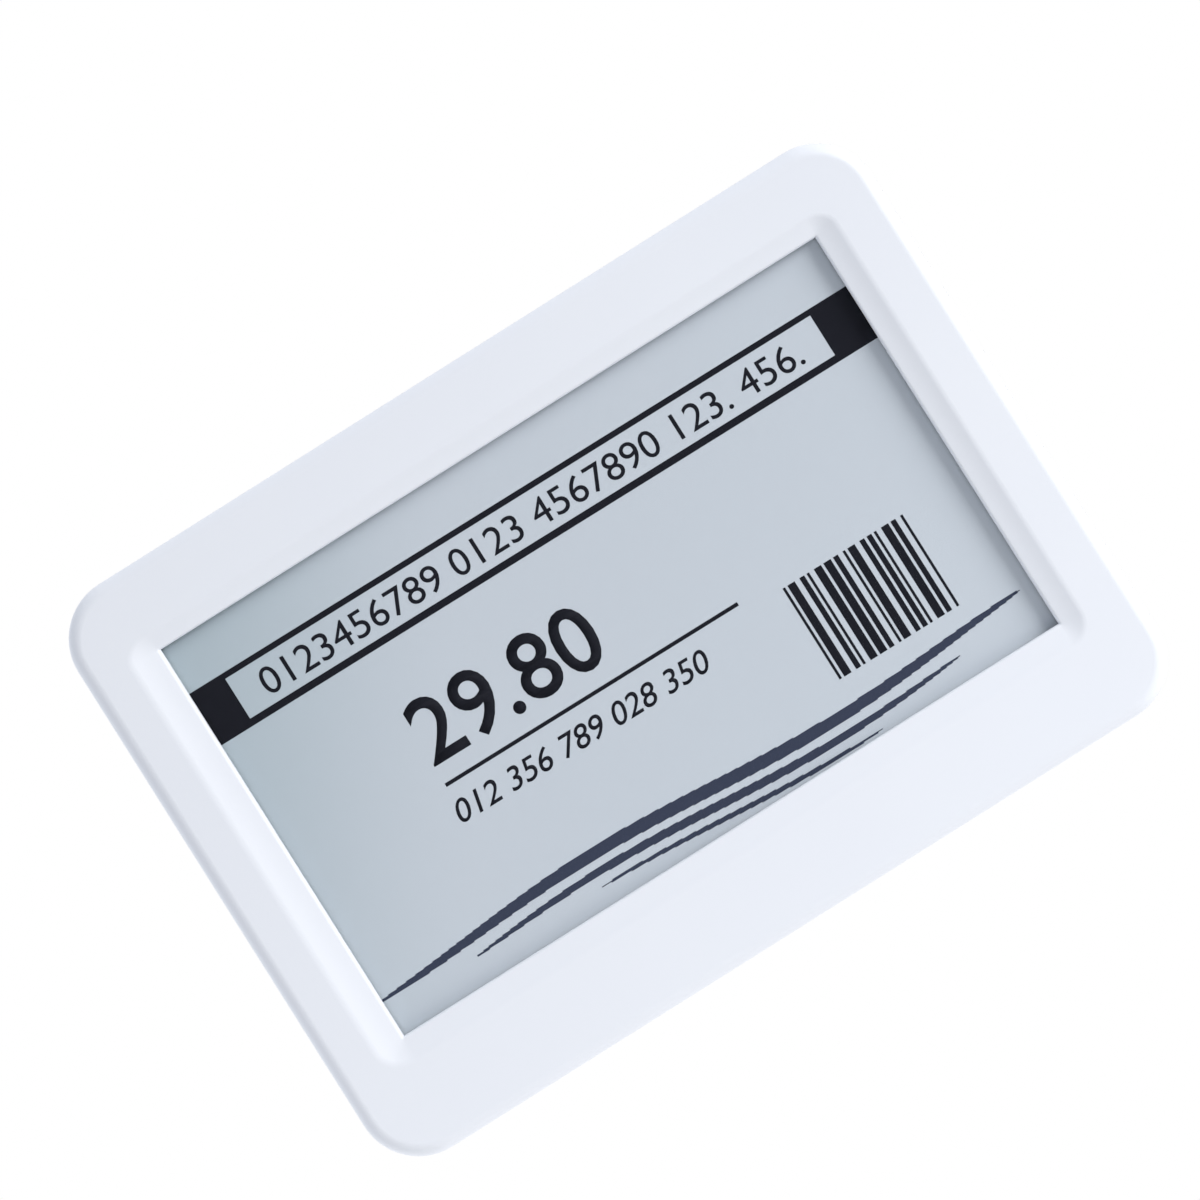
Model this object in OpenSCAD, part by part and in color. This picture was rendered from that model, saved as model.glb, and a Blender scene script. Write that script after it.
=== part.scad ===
// Electronic shelf label with a 7.5 inch electronic paper display.
// Each piece is drawn lying on its back, x to the right, y up the face and z towards the reader,
// with the middle of the housing's back face at the origin. upright() then stands it up, facing -Y.

/* [Housing] */
// Overall width of the housing
housing_width = 197.5; // [186:0.5:210]
// Overall height of the housing
housing_height = 140; // [130:0.5:150]
// Radius of the four corners of the outline
corner_radius = 13.5; // [12:0.5:15]
// Radius of the rolled edge round the front face
front_edge_radius = 3; // [1.5:0.1:3.5]
// Radius of the rolled edge round the back face
back_edge_radius = 1.2; // [0.6:0.1:2]
// Thickness of the outer walls and of the back
wall = 2; // [1.8:0.1:2.2]
// Thickness of the front cover's face
bezel_thickness = 2.5; // [2.3:0.1:2.8]
// Depth of the frame behind the face that the display sits against
frame_depth = 1.3; // [1:0.1:1.6]
// Width of that frame, out from the window's edge
frame_width = 6; // [4.5:0.5:7.5]
// Height of the parting line above the back face
parting_height = 4.5; // [4:0.1:5]
// Open groove at the parting line
parting_gap = 0.3; // [0.1:0.05:0.5]
// Thickness of the lip that locates the covers
lip_thickness = 1.2; // [0.9:0.1:1.4]
// Height of the lip above the parting line
lip_height = 2; // [1:0.1:2.5]
// Play between the lip and the front cover
lip_play = 0.15; // [0.05:0.05:0.25]

/* [Window] */
// Front face on each side of the window, out to the side of the housing
window_side_margin = 17.25; // [16.75:0.25:18.5]
// Front face above the window, up to the top of the housing
window_top_margin = 18.6; // [18.2:0.1:19]
// Front face below the window, down to the foot of the housing
window_foot_margin = 25.2; // [24.8:0.1:26]
// Radius of the soft rim of the dish round the window
rim_radius = 4; // [3:0.5:5]
// Steepest slope of the dish, in degrees
rim_tilt = 20; // [17:1:22]
// Radius of the hollow floor of the dish
bowl_radius = 26; // [22:1:30]
// Slope of the dish beside the window, in degrees
bowl_tilt = 11; // [9:1:13]
// Radius of the window's own edge
window_edge_radius = 0.8; // [0.5:0.1:1]

/* [Display] */
// Thickness of the glass backplane
glass_thickness = 0.5; // [0.4:0.05:0.55]
// Glass beyond each side of the window
glass_beside_window = 3.6; // [3.4:0.1:4]
// Glass above the top of the window
glass_above_window = 4.4; // [4.1:0.1:4.8]
// Glass below the foot of the window
glass_below_window = 10.6; // [10.2:0.1:11]
// Bare glass beside and above the ink film
film_margin = 1.5; // [1.2:0.1:1.7]
// Bare ledge of glass below the ink film
ledge_height = 8.1; // [7.6:0.1:8.4]
// Thickness of the ink film
film_thickness = 0.3; // [0.2:0.05:0.35]
// Thickness of the clear sheet over the ink film
sheet_thickness = 0.38; // [0.3:0.02:0.42]
// Thickness of the foam gasket behind the bezel
gasket_thickness = 0.4; // [0.3:0.05:0.45]
// Width of the foam gasket
gasket_width = 1.4; // [1:0.1:1.6]
// Thickness of the tape behind the glass
tape_thickness = 0.2; // [0.1:0.05:0.25]
// Thickness of the display carrier
carrier_thickness = 1; // [0.9:0.05:1.05]
// Play round the glass inside the carrier's rim
glass_play = 0.2; // [0.1:0.05:0.4]
// Thickness of the carrier's rim
carrier_rim = 1; // [0.8:0.1:1.4]

/* [Board] */
// Width of the main board
board_width = 124; // [120:1:128]
// Thickness of the main board
board_thickness = 1; // [0.8:0.1:1.1]
// Gap between the main board and the display carrier
board_gap = 0.7; // [0.5:0.05:0.8]
// Main board's top edge below the battery bay
board_bay_gap = 3.6; // [3.2:0.1:4.4]
// Foot of the board's legs above the foot of the housing
board_foot_margin = 4; // [3.8:0.1:5]
// Width of the notch between the legs
board_notch = 46; // [44:1:52]

/* [Battery bay] */
// Diameter of a coin cell
cell_diameter = 24.5; // [23:0.1:24.8]
// Height of a coin cell
cell_height = 5; // [4.7:0.1:5.1]
// Spacing between neighbouring cells
cell_spacing = 2; // [1.6:0.1:2.8]
// Play round a cell in its pocket
cell_play = 0.4; // [0.3:0.05:0.6]
// Centre of the cells below the top of the housing
cell_row_margin = 41; // [40:0.5:42]
// Thickness of the battery door
door_thickness = 1.5; // [1.3:0.1:1.6]
// Battery door above and below the cells
door_margin = 2.75; // [2.55:0.05:3.25]
// Thickness of the bay's roof over the cells' springs
bay_roof = 1.02; // [0.9:0.02:1.3]
// Play round the battery door
door_play = 0.25; // [0.15:0.05:0.35]
// Thickness of the foam pads on the door
pad_thickness = 0.5; // [0.4:0.05:0.6]

/* [Back] */
// Spacing of the bracket inserts across the back
bracket_spacing_x = 150; // [148:0.5:154]
// Spacing of the bracket inserts up the back
bracket_spacing_y = 100; // [98:0.5:104]
// Bore of a bracket insert
bracket_bore = 2.5; // [2.4:0.05:2.6]
// Length of a bracket insert
bracket_insert_length = 4; // [3.5:0.1:4.5]
// Diameter of the wake button
button_diameter = 6; // [5:0.1:7]
// Travel of the wake button
button_travel = 0.3; // [0.2:0.05:0.35]
// Depth of the wake button below the back face
button_recess = 0.4; // [0.3:0.05:0.5]
// Wake button in from the side edge of the main board
button_inset = 17; // [13:1:22]
// Wake button above the foot of the housing
button_rise = 38; // [34:1:40]

/* [Hidden] */
$fn = 48;
// Overrun of every cut past the face that it starts from
over = 0.5;
// Seating gap between pieces that are clamped or glued together
seat = 0.02;
// Radial running clearance of pieces that slide in a bore
running = 0.08;

// Levels, stacked up from the back face
spring_height = 0.6;
bay_roof_gap = 0.1;
cell_low = door_thickness + pad_thickness;
cell_front = cell_low + cell_height;
bay_front = cell_front + spring_height;
carrier_back = bay_front + bay_roof + bay_roof_gap;
tape_back = carrier_back + carrier_thickness;
glass_back = tape_back + tape_thickness;
glass_front = glass_back + glass_thickness;
film_front = glass_front + film_thickness;
sheet_front = film_front + sheet_thickness;
bezel_back = sheet_front + gasket_thickness;
cavity_front = bezel_back + frame_depth;
housing_depth = cavity_front + bezel_thickness;
board_front = carrier_back - board_gap;
board_back = board_front - board_thickness;

// Places on the face, measured from the housing's centre
window_width = housing_width - 2 * window_side_margin;
window_height = housing_height - window_top_margin - window_foot_margin;
window_top = housing_height / 2 - window_top_margin;
window_centre = window_top - window_height / 2;
glass_width = window_width + 2 * glass_beside_window;
glass_height = window_height + glass_above_window + glass_below_window;
glass_top = window_top + glass_above_window;
glass_foot = glass_top - glass_height;
glass_centre = (glass_top + glass_foot) / 2;
film_width = glass_width - 2 * film_margin;
film_height = glass_height - film_margin - ledge_height;
film_centre = glass_top - film_margin - film_height / 2;

// Dish round the window, as three arcs that run into each other
rim_reach = rim_radius * sin(rim_tilt);
rim_drop = rim_radius * (1 - cos(rim_tilt));
bowl_reach = bowl_radius * (sin(rim_tilt) - sin(bowl_tilt));
bowl_drop = bowl_radius * (cos(bowl_tilt) - cos(rim_tilt));
edge_reach = window_edge_radius * (1 - sin(bowl_tilt));
dish_reach = rim_reach + bowl_reach + edge_reach;
arc_steps = 6;

// Covers and their screws
cavity_width = housing_width - 2 * wall;
cavity_height = housing_height - 2 * wall;
cavity_radius = corner_radius - wall;
cover_screw_radius = 1;
cover_screw_length = 6.5;
cover_screw_head_radius = 1.9;
cover_screw_head_height = 1.2;
cover_screw_seat = 2;
cover_boss_radius = 3.2;
boss_clear = 0.3;
cover_boss_mid_inset = wall + lip_play + lip_thickness + cover_boss_radius + boss_clear;
cover_boss_inset = corner_radius - (corner_radius - cover_boss_mid_inset) / sqrt(2);
cover_screw_places = concat(
    [for (sx = [-1, 1], sy = [-1, 1])
        [sx * (housing_width / 2 - cover_boss_inset), sy * (housing_height / 2 - cover_boss_inset)]],
    [for (sy = [-1, 1]) [0, sy * (housing_height / 2 - cover_boss_mid_inset)]]
);
slot_width = 0.45;
slot_length_share = 1.2;
slot_depth_share = 0.5;

// Display carrier
carrier_width = glass_width + 2 * (glass_play + carrier_rim);
carrier_height = glass_height + 2 * (glass_play + carrier_rim);
carrier_corner = 1.5;
carrier_ear_radius = 3;
carrier_ear_y_share = 0.27;
carrier_screw_radius = 0.8;
carrier_screw_length = 3.4;
carrier_screw_head_radius = 1.5;
carrier_screw_head_height = 0.8;
carrier_boss_radius = 2.4;
carrier_ear_x = carrier_width / 2 + carrier_boss_radius + boss_clear;
carrier_screw_places = [for (sx = [-1, 1], sy = [-1, 1])
    [sx * carrier_ear_x, glass_centre + sy * carrier_ear_y_share * carrier_height]];
hook_width = 5;
hook_x = board_width / 2 - hook_width;
carrier_rib = 8;
carrier_opening_height = 26;
carrier_opening = [hook_x - hook_width - 2 * carrier_rib, carrier_opening_height];
carrier_opening_y_share = 0.17;
hook_wall = 1.4;
hook_lip = 1.2;
hook_thickness = 0.8;

// Display tail, folded back round the edge of the carrier
tail_thickness = 0.15;
tail_lead = 0.6;
tail_fold_y = glass_foot - tail_lead;
tail_entry = 0.35;
tail_low = board_back - tail_entry - tail_thickness;
tail_high = glass_front + tail_thickness;
tail_radius = (tail_high - tail_low) / 2;
tail_bond_width = 34;
tail_bond_length = 2;
tail_width = 20;
tail_end_width = 12.5;
tail_clear = 0.3;
driver_width = 22;
driver_length = 1.3;
driver_height = 0.4;
driver_gap = 1.6;

// Connector of the display tail, with its flip lock
connector_width = 19;
tail_run = 6;
connector_front = tail_fold_y + tail_run;
connector_length = 5.4;
connector_height = 2;
connector_cheek = 2.2;
lock_length = 2.6;
lock_thickness = 0.7;
lock_play = 0.12;
lock_rod_radius = 0.3;
lock_rod_reach = 0.8;
lock_pivot_inset = 3.2;
lock_pivot_y = connector_front + lock_pivot_inset;
lock_pivot_z = board_back - connector_height + lock_thickness / 2;
lock_width = connector_width - 2 * connector_cheek - 2 * lock_play;
insertion = 3;

// Battery bay, door and contacts
cell_row = housing_height / 2 - cell_row_margin;
cell_pitch = cell_diameter + cell_spacing;
cell_count = 4;
cell_places = [for (i = [0 : cell_count - 1]) [(i - (cell_count - 1) / 2) * cell_pitch, cell_row]];
cell_rim_share = 0.06;
cell_cap_share = 0.82;
spring_sheet = 0.25;
bay_wall = 1.4;
pocket_radius = cell_diameter / 2 + cell_play;
bay_end = 5;
bay_width = cell_count * cell_pitch + 2 * bay_end + 2 * bay_wall;
door_width = bay_width - 2 * bay_wall;
door_height = cell_diameter + 2 * door_margin;
door_corner = 3;
bay_height = door_height + 2 * bay_wall;
channel_share = 0.45;
door_screw_radius = 1;
door_screw_head_radius = 1.9;
door_screw_head_height = 0.9;
door_screw_head_inset = 0.2;
door_screw_inset = 3.2;
door_screw_x = door_width / 2 - door_screw_inset;
door_insert_radius = 1.7;
door_insert_length = 3.5;
door_screw_seat = door_screw_head_inset + door_screw_head_height;
door_screw_length = door_thickness + door_insert_length - door_screw_seat;
door_notch_radius = 6;
door_notch_depth = 0.8;
grip_count = 7;
grip_width = 0.6;
grip_pitch = 1.6;
grip_depth = 0.3;
grip_length = 12;
pad_diameter_share = 0.6;
contact_width = 3.4;
contact_offset = 6.5;
contact_stand = 0.1;
contact_slot_play = 0.3;
spring_diameter_share = 0.55;
finger_width = 1.6;
tail_pad = 3;
tail_face = board_back - spring_sheet - seat;

// Main board and what it carries
board_top = cell_row - bay_height / 2 - board_bay_gap;
board_foot = board_foot_margin - housing_height / 2;
board_notch_y = tail_fold_y + tail_clear;
board_screw_radius = 1;
board_screw_length = 4.5;
board_screw_head_radius = 1.8;
board_screw_head_height = 1;
board_boss_radius = 2.8;
board_screw_inset = 5;
board_screw_places = [for (sx = [-1, 1])
    [sx * (board_width / 2 - 2 * board_screw_inset), board_foot + board_screw_inset]];
chip_lead = 0.3;
controller_side = 8;
controller_height = 0.9;
controller_place_share = [0.06, -0.22];
shield_height = 1.6;
shield_sheet = 0.3;
shield_gap = 0.6;
shield_side = controller_side + 2 * (shield_gap + shield_sheet);
memory_size = [5, 4];
memory_height = 1.5;
memory_place_share = [0.22, -0.22];
memory_leads = 4;
lead_pitch = 1.1;
crystal_size = [6, 2];
crystal_gap = 2;
inductor_side = 5;
inductor_height = 2.4;
inductor_place_share = [-0.2, -0.6];
storage_size = [7.3, 4.3];
storage_height = 2.9;
storage_place_share = [-0.36, -0.07];
diode_size = [2.6, 1.6];
diode_height = 1;
diode_pitch = 3.2;
diode_count = 3;
diode_place_share = [-0.1, -0.6];
chip_part_size = [1.6, 0.8];
chip_part_height = 0.7;
chip_part_pitch = 2.4;
capacitor_rows = 2;
capacitor_columns = 6;
capacitor_place_share = [0.12, -0.6];
resistor_rows = 3;
resistor_columns = 4;
resistor_place_share = [0.3, -0.06];
antenna_length = 26;
antenna_width = 1.6;
antenna_thickness = 0.3;
antenna_lift = 3;
antenna_leg_spacing = 5;
antenna_inset = 10;
antenna_leg_width = 1.2;

// Wake switch under the button
button_x = button_inset - board_width / 2;
button_y = button_rise - housing_height / 2;
switch_side = 6;
switch_height = 1.6;
switch_reach = 0.5;
switch_bore_depth = 1.3;
switch_radius = 1.75;
switch_corner = 0.5;
plunger_root = board_back - switch_height + switch_bore_depth - button_travel - running;
plunger_tip = board_back - switch_height - switch_reach;
button_flange = 0.9;
button_flange_height = 0.7;
button_stem_radius = 1.4;
button_lift = 0.05;
button_dish_depth = 0.2;
button_dish_share = 0.7;

// Bracket inserts
bracket_insert_radius = 2.1;
bracket_insert_sink = 0.1;
bracket_boss_radius = 3.7;
bracket_boss_roof = 1;
bracket_groove = 0.3;
bracket_places = [for (sx = [-1, 1], sy = [-1, 1])
    [sx * bracket_spacing_x / 2, sy * bracket_spacing_y / 2]];

shell_white = "#E8EDF5";
back_white = "#E1E6EE";
steel = "#B9BDC2";
brass = "#C9A557";
chip_black = "#2A2C30";

// Stands a piece up so that its front faces -Y
module upright() {
    rotate([90, 0, 0]) children();
}

// Outline with round corners, centred
module rounded_rect(size, radius) {
    square([size.x - 2 * radius, size.y], center = true);
    square([size.x, size.y - 2 * radius], center = true);
    for (sx = [-1, 1], sy = [-1, 1])
        translate([sx * (size.x / 2 - radius), sy * (size.y / 2 - radius)])
            circle(r = radius);
}

// Plate with round corners between two levels
module slab(size, radius, low, high) {
    translate([0, 0, low])
        linear_extrude(height = high - low)
            rounded_rect(size, radius);
}

// Square-cornered block between two levels
module block(size, low, high) {
    translate([0, 0, (low + high) / 2])
        cube([size.x, size.y, high - low], center = true);
}

// Block from one height on the face to another, centred on x
module span(x, width, foot, top, low, high) {
    translate([x, (foot + top) / 2, 0]) block([width, top - foot], low, high);
}

// Upright rod between two levels
module rod(radius, low, high) {
    translate([0, 0, low]) cylinder(r = radius, h = high - low);
}

// Children repeated at each place
module at_places(places) {
    for (place = places) translate([place.x, place.y, 0]) children();
}

// Section of a plate whose upper edges are rolled
module rolled_section(width, height, roll) {
    translate([-width / 2 + roll, 0]) square([width - 2 * roll, height]);
    translate([-width / 2, 0]) square([width, height - roll]);
    for (side = [-1, 1])
        translate([side * (width / 2 - roll), height - roll]) circle(r = roll);
}

// Plate with round corners and a rolled upper edge, standing on z = 0
module rolled_slab(size, corner, roll, height) {
    rotate([90, 0, 90])
        linear_extrude(height = size.x - 2 * corner, center = true)
            rolled_section(size.y, height, roll);
    rotate([90, 0, 0])
        linear_extrude(height = size.y - 2 * corner, center = true)
            rolled_section(size.x, height, roll);
    quarters = [[1, 1], [-1, 1], [-1, -1], [1, -1]];
    for (i = [0 : 3])
        translate([quarters[i].x * (size.x / 2 - corner), quarters[i].y * (size.y / 2 - corner), 0])
            rotate([0, 0, 90 * i])
                rotate_extrude(angle = 90)
                    intersection() {
                        rolled_section(2 * corner, height, roll);
                        square([corner, height]);
                    }
}

// Points of the dish's section, from its rim in to the window's edge
function dish_points() = concat(
    [for (i = [0 : arc_steps])
        let (a = rim_tilt * i / arc_steps)
        [dish_reach - rim_radius * sin(a), -rim_radius * (1 - cos(a))]],
    [for (i = [1 : arc_steps])
        let (a = rim_tilt + (bowl_tilt - rim_tilt) * i / arc_steps)
        [dish_reach - rim_reach - bowl_radius * (sin(rim_tilt) - sin(a)),
            -rim_drop - bowl_radius * (cos(a) - cos(rim_tilt))]],
    [for (i = [1 : arc_steps])
        let (a = bowl_tilt + (90 - bowl_tilt) * i / arc_steps)
        [window_edge_radius * (1 - sin(a)),
            -rim_drop - bowl_drop - window_edge_radius * (cos(bowl_tilt) - cos(a))]]
);

module dish_section() {
    polygon(concat(dish_points(), [[0, over], [dish_reach, over]]));
}

// Cut of the dish and the window through the front
module window_cut() {
    corners = [[1, 1], [-1, 1], [-1, -1], [1, -1]];
    translate([0, window_centre, 0]) {
        block([window_width, window_height], bezel_back - over, housing_depth + over);
        for (i = [0 : 3]) {
            across = i % 2 == 0 ? window_width : window_height;
            along = i % 2 == 0 ? window_height : window_width;
            rotate([0, 0, 90 * i])
                translate([across / 2, 0, housing_depth])
                    rotate([90, 0, 0])
                        linear_extrude(height = along, center = true) dish_section();
            translate([corners[i].x * window_width / 2, corners[i].y * window_height / 2, housing_depth])
                rotate([0, 0, 90 * i])
                    rotate_extrude(angle = 90) dish_section();
        }
    }
}

// Screw with its head at the back, its seat on z = 0 and its thread running up
module screw(radius, length, head_radius, head_height) {
    difference() {
        union() {
            rod(radius, -head_height / 2, length);
            rod(head_radius, -head_height, 0);
        }
        slot_size = slot_length_share * head_radius;
        for (turn = [0, 90])
            rotate([0, 0, turn])
                block([slot_size, slot_width], -head_height - over, -head_height * (1 - slot_depth_share));
    }
}

module front_cover() {
    color(shell_white)
        upright()
            difference() {
                union() {
                    difference() {
                        translate([0, 0, parting_height + parting_gap])
                            rolled_slab([housing_width, housing_height], corner_radius, front_edge_radius,
                                housing_depth - parting_height - parting_gap);
                        slab([cavity_width, cavity_height], cavity_radius,
                            parting_height - over, cavity_front);
                    }
                    translate([0, window_centre, 0])
                        block([window_width + 2 * frame_width, window_height + 2 * frame_width],
                            bezel_back, cavity_front + over);
                    at_places(cover_screw_places)
                        rod(cover_boss_radius, parting_height + seat, cavity_front + over);
                    at_places(carrier_screw_places)
                        rod(carrier_boss_radius, tape_back + seat, cavity_front + over);
                    at_places(board_screw_places)
                        rod(board_boss_radius, board_front + seat, cavity_front + over);
                }
                window_cut();
                at_places(cover_screw_places)
                    rod(cover_screw_radius + seat, 0, cover_screw_seat + cover_screw_length + over);
                at_places(carrier_screw_places)
                    rod(carrier_screw_radius + seat, 0, carrier_back + carrier_screw_length + seat);
                at_places(board_screw_places)
                    rod(board_screw_radius + seat, 0, board_back + board_screw_length + over);
            }
}

module rear_cover() {
    lip_inset = wall + lip_play;
    inner_inset = lip_inset + lip_thickness;
    color(back_white)
        upright()
            difference() {
                union() {
                    difference() {
                        union() {
                            translate([0, 0, parting_height])
                                mirror([0, 0, 1])
                                    rolled_slab([housing_width, housing_height], corner_radius,
                                        back_edge_radius, parting_height);
                            slab([housing_width - 2 * lip_inset, housing_height - 2 * lip_inset],
                                corner_radius - lip_inset, wall, parting_height + lip_height);
                        }
                        slab([housing_width - 2 * inner_inset, housing_height - 2 * inner_inset],
                            corner_radius - inner_inset, wall, parting_height + lip_height + over);
                    }
                    at_places(cover_screw_places) rod(cover_boss_radius, wall / 2, parting_height);
                    at_places(bracket_places)
                        rod(bracket_boss_radius, wall / 2, bracket_insert_length + bracket_boss_roof);
                    translate([0, cell_row, 0])
                        slab([bay_width, bay_height], door_corner, wall / 2, carrier_back - bay_roof_gap);
                }
                door_recess();
                cell_pockets();
                contact_recesses();
                at_places(cover_screw_places) {
                    rod(cover_screw_head_radius + 2 * running, -over, cover_screw_seat);
                    rod(cover_screw_radius + 2 * running, 0, parting_height + over);
                }
                at_places(bracket_places)
                    rod(bracket_insert_radius + seat, -over, bracket_insert_length + 2 * bracket_insert_sink);
                translate([button_x, button_y, 0]) rod(button_diameter / 2 + running, -over, wall + over);
            }
}

// Recess of the door in the back, with the bores of its screw inserts and the finger notch
module door_recess() {
    translate([0, cell_row, 0]) {
        slab([door_width + 2 * door_play, door_height + 2 * door_play], door_corner + door_play,
            -over, door_thickness);
        for (side = [-1, 1])
            translate([side * door_screw_x, 0, 0])
                rod(door_insert_radius + seat, 0, door_thickness + door_insert_length + 2 * seat);
        translate([0, -door_height / 2, 0])
            rod(door_notch_radius, -over, door_notch_depth);
    }
}

// Pockets of the cells and the channel that joins them
module cell_pockets() {
    at_places(cell_places) rod(pocket_radius, 0, bay_front);
    translate([0, cell_row, 0])
        block([(cell_count - 1) * cell_pitch, channel_share * cell_diameter], 0, bay_front);
}

// Recesses for the rim contacts and the slots where the contacts leave the bay
module contact_recesses() {
    recess = contact_width + 2 * contact_slot_play;
    bay_foot = cell_row - bay_height / 2;
    recess_foot = cell_row - pocket_radius - bay_wall / 2;
    slot_low = board_back - spring_sheet - contact_slot_play;
    for (place = cell_places) {
        span(place.x, recess, recess_foot, cell_row, cell_low, bay_front);
        span(place.x, recess, bay_foot - over, cell_row, slot_low, bay_front);
        span(place.x + contact_offset, recess, bay_foot - over, cell_row, slot_low, bay_front);
    }
}

module cover_screws() {
    color(steel)
        upright()
            at_places(cover_screw_places)
                translate([0, 0, cover_screw_seat - seat])
                    screw(cover_screw_radius, cover_screw_length, cover_screw_head_radius,
                        cover_screw_head_height);
}

module display_gasket() {
    inset = window_edge_radius / 2;
    inner = [window_width + inset, window_height + inset];
    color("#3A3D42")
        upright()
            translate([0, window_centre, 0])
                difference() {
                    block([inner.x + 2 * gasket_width, inner.y + 2 * gasket_width], sheet_front, bezel_back);
                    block(inner, sheet_front - over, bezel_back + over);
                }
}

module clear_sheet() {
    color("#C9D1DA")
        upright()
            translate([0, film_centre, 0])
                block([film_width, film_height], film_front, sheet_front);
}

module ink_film() {
    color("#B9C2CC")
        upright()
            translate([0, film_centre, 0])
                block([film_width, film_height], glass_front, film_front);
}

module display_glass() {
    color("#8FA39A")
        upright()
            translate([0, glass_centre, 0])
                block([glass_width, glass_height], glass_back, glass_front);
}

module driver_chip() {
    color(chip_black)
        upright()
            translate([0, glass_foot + tail_bond_length + driver_gap + driver_length / 2, 0])
                block([driver_width, driver_length], glass_front, glass_front + driver_height);
}

module display_tail() {
    centre_z = tail_high - tail_radius;
    color("#C98A2B")
        upright() {
            translate([0, tail_fold_y, centre_z])
                rotate([90, 0, 90])
                    linear_extrude(height = tail_width, center = true)
                        difference() {
                            circle(r = tail_radius);
                            circle(r = tail_radius - tail_thickness);
                            translate([0, -2 * tail_radius]) square([2 * tail_radius, 4 * tail_radius]);
                        }
            translate([0, tail_fold_y + tail_lead / 2, 0])
                block([tail_width, tail_lead], glass_front, tail_high);
            translate([0, glass_foot + tail_bond_length / 2, 0])
                block([tail_bond_width, tail_bond_length], glass_front, tail_high);
            wide_length = (connector_front - tail_fold_y) / 2;
            translate([0, tail_fold_y + wide_length / 2, 0])
                block([tail_width, wide_length], tail_low, tail_low + tail_thickness);
            end_length = connector_front + insertion - tail_fold_y - wide_length;
            translate([0, tail_fold_y + wide_length + end_length / 2, 0])
                block([tail_end_width, end_length], tail_low, tail_low + tail_thickness);
        }
}

module display_tape() {
    color("#D8D8D2")
        upright()
            translate([0, glass_centre, 0])
                difference() {
                    block([glass_width, glass_height - 2 * tail_bond_length], tape_back, glass_back);
                    carrier_openings(tape_back - over, glass_back + over);
                }
}

// Openings that lighten the carrier, drawn from the middle of the glass
module carrier_openings(low, high) {
    x = hook_x / 2;
    y = carrier_opening_y_share * glass_height;
    for (sx = [-1, 1], sy = [-1, 1])
        translate([sx * x, sy * y, 0]) slab(carrier_opening, carrier_corner, low, high);
}

module display_carrier() {
    rim_front = sheet_front;
    rim_foot = glass_foot - carrier_rim - 2 * glass_play;
    color("#B4BAC3")
        upright()
            difference() {
                union() {
                    translate([0, glass_centre, 0])
                        slab([carrier_width, carrier_height], carrier_corner, carrier_back, rim_front);
                    at_places(carrier_screw_places) rod(carrier_ear_radius, carrier_back, tape_back);
                    for (sy = [-1, 1])
                        translate([0, glass_centre + sy * carrier_ear_y_share * carrier_height, 0])
                            block([2 * carrier_ear_x, 2 * carrier_ear_radius], carrier_back, tape_back);
                    for (side = [-1 : 1]) board_hook(side * hook_x);
                }
                translate([0, glass_centre, 0]) {
                    block([glass_width + 2 * glass_play, glass_height + 2 * glass_play],
                        tape_back, rim_front + over);
                    carrier_openings(carrier_back - over, tape_back + over);
                }
                span(0, tail_bond_width + 2 * tail_clear, rim_foot, glass_foot,
                    carrier_back - over, rim_front + over);
                at_places(carrier_screw_places)
                    rod(carrier_screw_radius + running, carrier_back - over, tape_back + over);
            }
}

// Hook of the carrier that holds the top edge of the main board
module board_hook(x) {
    low = board_back - hook_thickness - running;
    root = board_top + running;
    span(x, hook_width, root, root + hook_wall, low, tape_back);
    span(x, hook_width, root - hook_lip, root + hook_wall, low, board_back - running);
}

module carrier_screws() {
    color(steel)
        upright()
            at_places(carrier_screw_places)
                translate([0, 0, carrier_back - seat])
                    screw(carrier_screw_radius, carrier_screw_length, carrier_screw_head_radius,
                        carrier_screw_head_height);
}

module main_board() {
    leg_width = (board_width - board_notch) / 2;
    leg_x = (board_notch + leg_width) / 2;
    color("#1F6B45")
        upright()
            difference() {
                union() {
                    span(0, board_width, board_notch_y, board_top, board_back, board_front);
                    for (side = [-1, 1])
                        span(side * leg_x, leg_width, board_foot, board_notch_y, board_back, board_front);
                }
                at_places(board_screw_places)
                    rod(board_screw_radius + running, board_back - over, board_front + over);
            }
}

module board_screws() {
    color(steel)
        upright()
            at_places(board_screw_places)
                translate([0, 0, board_back - seat])
                    screw(board_screw_radius, board_screw_length, board_screw_head_radius,
                        board_screw_head_height);
}

// Moves to a place on the back of the board, given as shares of its width and of its height below the
// contacts' pads
module on_board(share) {
    pads_foot = board_top - tail_pad;
    translate([share.x * board_width, pads_foot + share.y * (pads_foot - board_notch_y), board_back])
        mirror([0, 0, 1]) children();
}

module radio_controller() {
    color(chip_black)
        upright()
            on_board(controller_place_share)
                block([controller_side, controller_side], 0, controller_height);
}

// Pressed lid over the radio controller
module controller_shield() {
    inner = shield_side - 2 * shield_sheet;
    color("#C4C8CC")
        upright()
            on_board(controller_place_share)
                difference() {
                    block([shield_side, shield_side], 0, shield_height);
                    block([inner, inner], -over, shield_height - shield_sheet);
                }
}

module memory_chip() {
    color(chip_black)
        upright()
            on_board(memory_place_share) {
                block(memory_size, chip_lead / 2, memory_height);
                for (side = [-1, 1], i = [0 : memory_leads - 1])
                    translate([(i - (memory_leads - 1) / 2) * lead_pitch, side * memory_size.y / 2, 0])
                        block([chip_lead, 4 * chip_lead], 0, chip_lead);
            }
}

module clock_crystal() {
    color("#CFD2D6")
        upright()
            on_board(controller_place_share)
                translate([-crystal_size.x / 2, shield_side / 2 + crystal_gap, crystal_size.y / 2])
                    rotate([0, 90, 0])
                        cylinder(r = crystal_size.y / 2, h = crystal_size.x);
}

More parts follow.
